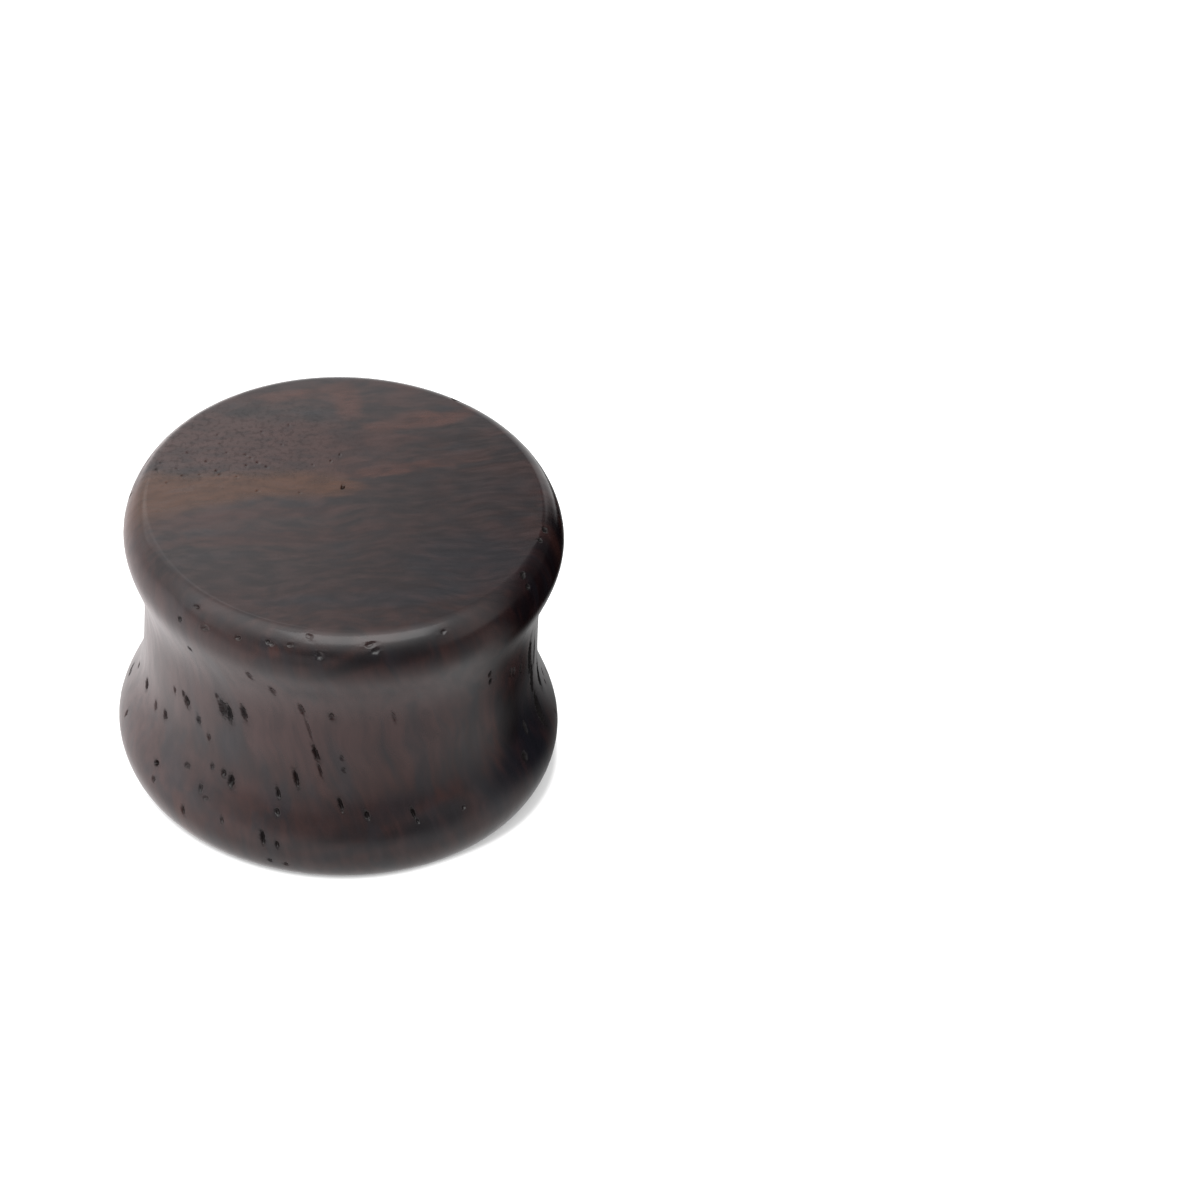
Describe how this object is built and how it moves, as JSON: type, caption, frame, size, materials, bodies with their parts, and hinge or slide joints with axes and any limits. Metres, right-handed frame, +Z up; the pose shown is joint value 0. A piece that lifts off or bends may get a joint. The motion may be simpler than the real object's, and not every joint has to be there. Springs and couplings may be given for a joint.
{
  "type": "wooden double-flared ear plug",
  "caption": "Solid dark hardwood ear plug: a saddle-shaped waist between rounded flared rims, with flat end faces. It is worn in a stretched ear lobe piercing.",
  "frame": {"origin": "centre of the lower flat end face, which stands on the table", "axes": "+Z up along the axis that the plug was turned on; it is round, so X and Y are alike. The picture is taken from the -Y side"},
  "size_m": [0.0178, 0.0178, 0.0128],
  "materials": {
    "dark_hardwood": "satin, oiled, with open pores"
  },
  "bodies": {
    "root": {"plug_body": "dark_hardwood"}
  },
  "joints": []
}
